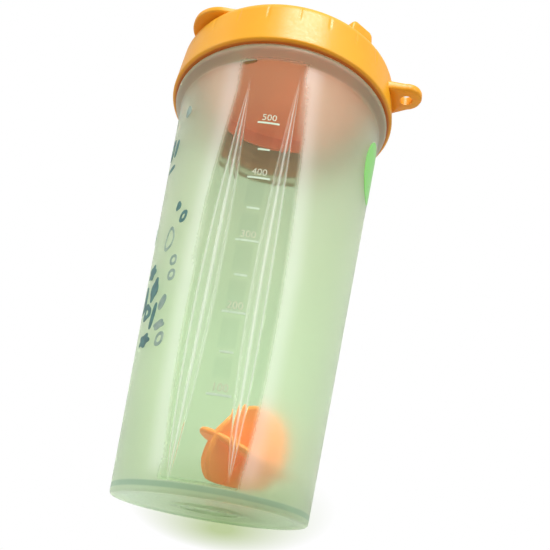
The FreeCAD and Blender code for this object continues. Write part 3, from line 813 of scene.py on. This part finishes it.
def make_turret():
    """The hollow, round-edged turret over the spout, with a shallow dish on top."""
    low, plate_top, roof = CAP_LOW, CAP_LOW + CAP_T, TURRET_TOP - TURRET_ROOF
    profile = [(TURRET_BORE, low + 0.2), (TURRET_BORE + 0.3, low), (TURRET_R - 0.4, low),
               (TURRET_R + 0.5, plate_top - 0.1), (TURRET_R + 0.15, plate_top + 0.4),
               (TURRET_R, plate_top + 1.0)]
    for i in range(7):
        a = math.radians(90 * i / 6)
        profile.append((TURRET_R - 2.2 + 2.2 * math.cos(a), TURRET_TOP - 2.2 + 2.2 * math.sin(a)))
    profile += [(TURRET_R - 3.4, TURRET_TOP), (TURRET_R - 4.0, TURRET_TOP - 0.25),
                (TURRET_R - 4.6, TURRET_TOP - 0.25), (0, TURRET_TOP - 0.25), (0, roof),
                (TURRET_BORE - 0.3, roof), (TURRET_BORE, roof - 0.3)]
    turret = turned("cap_turret", profile, from_front(0, -SPOUT_OUT, 0), "cap", LID)
    keep_edges(turret, 50)
    return turret


def make_knuckle(side, word):
    """A hinge knuckle on the cap's edge, with the pin's hole."""
    hinge_end = LUG_OUTER - LUG_T - HINGE_GAP
    bm = bmesh.new()
    rings = []
    for inset, x in ((0.5, hinge_end), (0.0, hinge_end - 0.5), (0.0, hinge_end - KNUCKLE_L + 0.5),
                     (0.5, hinge_end - KNUCKLE_L)):
        rings.append([
            bm.verts.new(from_front(side * x, (KNUCKLE_R - inset) * math.cos(TAU * i / 40),
                                    HINGE_Z + (KNUCKLE_R - inset) * math.sin(TAU * i / 40)))
            for i in range(40)])
    for lower, upper in zip(rings, rings[1:]):
        join_rings(bm, lower, upper)
    bm.faces.new(rings[0])
    bm.faces.new(rings[-1])
    knuckle = new_object(f"cap_knuckle_{word}", bm, "cap", LID)
    hole = rod("pin_cut", from_front(side * (hinge_end - KNUCKLE_L - 2), 0, HINGE_Z),
               from_front(side * (hinge_end + 2), 0, HINGE_Z), PIN_R + PIN_CLEAR)
    combine(knuckle, hole, "DIFFERENCE")
    keep_edges(knuckle)
    return knuckle


THUMB_RIDGES = ((42.6, 7.0), (44.4, 5.6), (46.2, 3.6))  # place along the front, half-length


def make_thumb_ridges():
    """Three low ridges across the lip for the thumb."""
    bm = bmesh.new()
    top = CAP_LOW + CAP_T
    for along, half in THUMB_RIDGES:
        slab(bm, [(-half, -along - 0.4), (half, -along - 0.4), (half, -along + 0.4),
                  (-half, -along + 0.4)], top - 0.3, top + 0.35)
    ridges = new_object("thumb_ridges", bm, "cap", LID)
    soften(ridges, 0.22, 2)
    keep_edges(ridges)
    return ridges


# ---------------------------------------------------------------- mixing ball
def make_ball():
    """Three discs with rounded rims that cross at right angles."""
    low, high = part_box("mixing_ball")
    centre = (Vector(low) + Vector(high)) / 2
    yaw, pitch, roll = (math.radians(a) for a in BALL_TURN)
    turn = (Matrix.Rotation(yaw, 4, "Z") @ Matrix.Rotation(pitch, 4, "Y")
            @ Matrix.Rotation(roll, 4, "X"))
    half = BALL_T / 2
    profile = [(0, -half), (BALL_R - 1.0, -half), (BALL_R - 0.35, -half + 0.3),
               (BALL_R, -half + 0.9), (BALL_R, half - 0.9), (BALL_R - 0.35, half - 0.3),
               (BALL_R - 1.0, half), (0, half)]
    discs = []
    for word, tip in (("a", Matrix.Identity(4)), ("b", Matrix.Rotation(math.pi / 2, 4, "X")),
                      ("c", Matrix.Rotation(math.pi / 2, 4, "Y"))):
        disc = turned(f"ball_disc_{word}", profile, Vector((0, 0, 0)), "ball", BALL,
                      64, False)
        disc.data.transform(Matrix.Translation(centre) @ turn @ tip)
        discs.append(disc)
    whole = discs[0]
    for other in discs[1:]:
        combine(whole, other, "UNION")
    whole.name = "ball_discs"
    keep_edges(whole)
    return whole


# ---------------------------------------------------------------- printed marks
FILM_LOW, FILM_HIGH = 0.02, 0.14  # the ink's inner and outer faces above the wall
NUMBER_SIZE, NUMBER_HALF, NUMBER_RISE = 3.6, 0.05, 1.1  # height, half-thickness, gap to its line


def on_wall(azimuth, z, across, up, lift):
    """A point on the cup's wall, given millimetres across and up from a place on it."""
    height = z + up
    r = wall_r(height)
    return around(r + lift, azimuth + math.degrees(across / r), height)


def film(bm, azimuth, z, outline, hole=0.0):
    """A thin patch of ink on the wall. The outline is star-shaped about its middle; hole is the
    share of it left open in the middle."""
    shares = (1.0, 0.8, 0.6) if hole else (1.0, 0.66, 0.33)
    shares = [hole + (1 - hole) * share for share in shares] + ([hole] if hole else [])
    rings = [[bm.verts.new(on_wall(azimuth, z, x, y, FILM_LOW)) for x, y in outline]]
    rings += [[bm.verts.new(on_wall(azimuth, z, x * k, y * k, FILM_HIGH)) for x, y in outline]
              for k in shares]
    if hole:
        rings.append([bm.verts.new(on_wall(azimuth, z, x * hole, y * hole, FILM_LOW))
                      for x, y in outline])
    else:
        rings.append([bm.verts.new(on_wall(azimuth, z, 0, 0, FILM_HIGH))])
    for outer, inner in zip(rings, rings[1:]):
        join_rings(bm, outer, inner)


def rounded_shape(half_width, half_height, power=2.0, lobes=0, wobble=0.0, lean=0.0, steps=36):
    """A closed outline between an ellipse (power 2) and a box, with lobes and a lean."""
    points = []
    for i in range(steps):
        a = TAU * i / steps
        c, s = math.cos(a), math.sin(a)
        x = math.copysign(abs(c) ** (2 / power), c) * half_width
        y = math.copysign(abs(s) ** (2 / power), s) * half_height
        k = 1 + wobble * math.cos(lobes * a + 0.7)
        points.append((x * k + lean * y * k, y * k))
    return points


# Azimuth, height, half-width, half-height, power, lobes, wobble, lean, hole.
TEAL_MARKS = [
    (-75, 128, 2.6, 4.4, 3.2, 0, 0.0, 0.12, 0.45), (-67, 126, 1.5, 3.6, 2.4, 0, 0.0, 0.2, 0.0),
    (-70, 117.5, 3.6, 1.0, 3.0, 0, 0.0, 0.0, 0.0),
    (-51, 96.5, 1.3, 1.8, 2.2, 3, 0.12, 0.1, 0.0), (-45.5, 91.5, 1.7, 2.3, 2.6, 0, 0.0, 0.2, 0.4),
    (-69, 74, 3.4, 2.6, 2.2, 5, 0.16, 0.0, 0.0), (-61, 66, 2.6, 4.0, 2.2, 4, 0.14, 0.15, 0.0),
    (-66, 58.5, 3.2, 3.0, 2.4, 3, 0.15, -0.1, 0.35), (-57, 56, 1.2, 4.6, 2.6, 0, 0.0, 0.2, 0.0),
    (-63, 48, 3.8, 2.2, 2.2, 5, 0.18, 0.0, 0.0), (-73, 64, 1.8, 5.0, 2.4, 3, 0.1, 0.1, 0.0),
]
GREY_MARKS = [
    (-59, 140, 1.9, 2.6, 2.0, 3, 0.1, 0.0, 0.0), (-54, 84, 2.6, 4.6, 2.0, 3, 0.08, 0.1, 0.72),
    (-47, 75, 1.8, 2.0, 2.2, 0, 0.0, 0.0, 0.5), (-46.5, 69.5, 1.9, 2.1, 2.2, 0, 0.0, 0.0, 0.5),
    (-50, 60, 1.5, 3.0, 2.0, 2, 0.2, 0.5, 0.0), (-49.5, 52, 2.6, 1.6, 2.2, 4, 0.15, 0.4, 0.0),
    (-47, 47, 2.0, 2.4, 2.4, 0, 0.0, 0.2, 0.5), (-81, 92, 2.0, 3.0, 2.0, 3, 0.15, 0.0, 0.0),
]


def make_marks(name, marks, material):
    """Printed marks of one colour; they stand in for the side print."""
    bm = bmesh.new()
    for azimuth, z, *shape, hole in marks:
        film(bm, azimuth, z, rounded_shape(*shape), hole)
    piece = new_object(name, bm, "cup", material)
    keep_edges(piece, 50)
    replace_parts(piece, "side_print")


def make_numbers():
    """A number over each long line of the scale."""
    bm = bmesh.new()
    for index, line in enumerate(SCALE_LINES[::2]):
        text = bpy.data.curves.new("number", "FONT")
        text.body = str(100 * (index + 1))
        text.size = NUMBER_SIZE
        text.extrude = NUMBER_HALF
        text.resolution_u = 3
        text.align_x = "CENTER"
        holder = bpy.data.objects.new("number", text)
        bpy.context.scene.collection.objects.link(holder)
        graph = bpy.context.evaluated_depsgraph_get()
        flat = bpy.data.meshes.new_from_object(holder.evaluated_get(graph))
        for vertex in flat.vertices:
            x, y, depth = vertex.co
            vertex.co = on_wall(SCALE_AZIMUTH, line + NUMBER_RISE, x, y,
                                FILM_LOW + NUMBER_HALF + depth)
        bm.from_mesh(flat)
        bpy.data.objects.remove(holder)
    new_object("scale_numbers", bm, "cup", NUMBER_INK, False)


make_marks("side_marks", TEAL_MARKS, TEAL_INK)
make_marks("side_marks_pale", GREY_MARKS, GREY_INK)
make_numbers()
lid_pieces = [make_lid(), make_spout(), make_lug(-1, "left"), make_lug(1, "right"), make_eye()]
for piece in lid_pieces:
    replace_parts(piece, "screw_lid")
cap_pieces = [make_cap_plate(), make_turret(), make_knuckle(-1, "left"), make_knuckle(1, "right"),
              make_thumb_ridges()]
for piece in cap_pieces:
    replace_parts(piece, "flip_cap")
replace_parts(make_ball(), "mixing_ball")


# ---------------------------------------------------------------- CAD nodes that stay
NODE_MATERIALS = {
    "graduation_scale": SCALE_INK, "oval_print": GREEN_INK,
    "lid_gasket": SEAL, "hinge_pin_left": LID, "hinge_pin_right": LID, "spout_plug": SEAL,
}
for name, material in NODE_MATERIALS.items():
    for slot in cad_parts[name].material_slots:
        slot.material = material


# ---------------------------------------------------------------- stage
def plane(name, corners, material):
    """One flat square of the stage."""
    mesh = bpy.data.meshes.new(name)
    mesh.from_pydata(corners, [], [(0, 1, 2, 3)])
    mesh.materials.append(material)
    obj = bpy.data.objects.new(name, mesh)
    bpy.context.scene.collection.objects.link(obj)
    return obj


def floor_material():
    """A pale floor from above. From below it is see-through and carries a painted shadow: a soft
    green patch, set by position, that stands in for the bottle's shadow.
    """
    material, tree, shader = new_material("floor")
    shader.inputs["Base Color"].default_value = (0.86, 0.86, 0.85, 1)
    shader.inputs["Emission Color"].default_value = (1, 1, 1, 1)
    shader.inputs["Emission Strength"].default_value = 0.1
    shader.inputs["Roughness"].default_value = 0.6
    place = node(tree, "ShaderNodeTexCoord")
    shift = node(tree, "ShaderNodeMapping", vector_type="POINT")
    shift.inputs["Location"].default_value = (-0.006, -0.010, 0)
    shift.inputs["Scale"].default_value = (1, 0.22, 0)
    tree.links.new(place.outputs["Object"], shift.inputs["Vector"])
    length = node(tree, "ShaderNodeVectorMath", operation="LENGTH")
    tree.links.new(shift.outputs[0], length.inputs[0])
    # Painted shadow: the bottle's soft green shade, placed by position on the floor.
    shade = spread(tree, length.outputs["Value"], 0.004, 0.034, 1.0, 0.0)
    tint = blend_colour(tree, shade, (1, 1, 1), (0.52, 0.62, 0.34))
    through = node(tree, "ShaderNodeBsdfTransparent")
    tree.links.new(tint, through.inputs["Color"])
    clear = node(tree, "ShaderNodeBsdfTransparent")
    geometry = node(tree, "ShaderNodeNewGeometry")
    path = node(tree, "ShaderNodeLightPath")
    seen = node(tree, "ShaderNodeMixShader")
    tree.links.new(geometry.outputs["Backfacing"], seen.inputs[0])
    tree.links.new(shader.outputs[0], seen.inputs[1])
    tree.links.new(through.outputs[0], seen.inputs[2])
    every = node(tree, "ShaderNodeMixShader")
    tree.links.new(path.outputs["Is Camera Ray"], every.inputs[0])
    tree.links.new(clear.outputs[0], every.inputs[1])
    tree.links.new(seen.outputs[0], every.inputs[2])
    tree.links.new(every.outputs[0], tree.nodes["Material Output"].inputs["Surface"])
    return material


FLOOR_HALF, FLOOR_Z = 3.0, -0.0006  # metres
plane("floor", [(-FLOOR_HALF, -FLOOR_HALF, FLOOR_Z), (FLOOR_HALF, -FLOOR_HALF, FLOOR_Z),
                (FLOOR_HALF, FLOOR_HALF, FLOOR_Z), (-FLOOR_HALF, FLOOR_HALF, FLOOR_Z)],
      floor_material())


def make_world():
    """A white room that is plain to the camera; other rays find it dimmer in front and below."""
    world = bpy.data.worlds.new("studio")
    bpy.context.scene.world = world
    world.use_nodes = True
    tree = world.node_tree
    for old in list(tree.nodes):
        tree.nodes.remove(old)
    place = node(tree, "ShaderNodeTexCoord")
    split = node(tree, "ShaderNodeSeparateXYZ")
    tree.links.new(place.outputs["Generated"], split.inputs[0])
    back = spread(tree, split.outputs["Y"], -1.0, 1.0, 0.34, 0.92)
    up = math_node(tree, "ADD", back, spread(tree, split.outputs["Z"], -1.0, 1.0, -0.06, 0.10))
    room = node(tree, "ShaderNodeBackground")
    room.inputs["Color"].default_value = (1, 1, 1, 1)
    tree.links.new(up, room.inputs["Strength"])
    white = node(tree, "ShaderNodeBackground")
    white.inputs["Color"].default_value = (1, 1, 1, 1)
    white.inputs["Strength"].default_value = 1.0
    path = node(tree, "ShaderNodeLightPath")
    mix = node(tree, "ShaderNodeMixShader")
    tree.links.new(path.outputs["Is Camera Ray"], mix.inputs[0])
    tree.links.new(room.outputs[0], mix.inputs[1])
    tree.links.new(white.outputs[0], mix.inputs[2])
    output = node(tree, "ShaderNodeOutputWorld")
    tree.links.new(mix.outputs[0], output.inputs["Surface"])


def softbox(name, place, target, size, power):
    """A white area lamp that faces a point."""
    lamp = bpy.data.lights.new(name, "AREA")
    lamp.shape = "RECTANGLE"
    lamp.size, lamp.size_y = size
    lamp.energy = power
    obj = bpy.data.objects.new(name, lamp)
    bpy.context.scene.collection.objects.link(obj)
    look = (Vector(target) - Vector(place)).normalized()
    turn = look.to_track_quat("-Z", "Y").to_matrix().to_4x4()
    obj.matrix_world = Matrix.Translation(place) @ turn
    return obj


def hide_lamp(obj):
    """Keeps a lamp out of sight; only the softboxes show, as gloss."""
    obj.visible_camera = False
    obj.visible_transmission = False
    obj.visible_glossy = obj.data.type == "AREA"


def bulb(name, place, power, colour):
    """A small lamp inside the cup that isn't itself seen."""
    lamp = bpy.data.lights.new(name, "POINT")
    lamp.energy = power
    lamp.shadow_soft_size = 0.012
    lamp.color = colour
    obj = bpy.data.objects.new(name, lamp)
    obj.location = place
    bpy.context.scene.collection.objects.link(obj)
    hide_lamp(obj)


make_world()
for box in (
    softbox("strip_left", (-0.57, -0.19, 0.30), (0, 0, 0.09), (0.05, 0.62), 0.8),
    softbox("strip_right", (0.43, -0.42, 0.30), (0, 0, 0.09), (0.05, 0.62), 0.7),
    softbox("key", (0.06, -0.50, 0.72), (0, 0, 0.16), (0.35, 0.3), 6.0),
):
    hide_lamp(box)
bulb("fill_lid", (0.0, -0.004, 0.118), 0.06, (1.0, 0.66, 0.62))
bulb("fill_ball", (-0.006, -0.016, 0.056), 0.05, (1.0, 0.95, 0.88))


# ---------------------------------------------------------------- camera
def make_camera():
    """A camera in front of the cup's foot that looks up, rolled so that the bottle leans."""
    place = Vector((0.0, -235.5, -24.25)) * MM
    pan, tilt, roll = 0.036, 0.446, 0.167
    focal_px, frame_px, sensor_mm = 684.6, 550, 36.0
    ahead = Vector((math.sin(pan) * math.cos(tilt), math.cos(pan) * math.cos(tilt), math.sin(tilt)))
    right = Vector((math.cos(pan), -math.sin(pan), 0))
    up = right.cross(ahead)
    right_r = right * math.cos(roll) + up * math.sin(roll)
    up_r = up * math.cos(roll) - right * math.sin(roll)
    data = bpy.data.cameras.new("camera")
    data.sensor_width = sensor_mm
    data.lens = sensor_mm * focal_px / frame_px
    data.clip_start = 0.01
    obj = bpy.data.objects.new("camera", data)
    bpy.context.scene.collection.objects.link(obj)
    turn = Matrix((right_r, up_r, -ahead)).transposed()
    obj.matrix_world = Matrix.Translation(place) @ turn.to_4x4()
    bpy.context.scene.camera = obj


make_camera()
bpy.context.scene.view_settings.view_transform = "Standard"
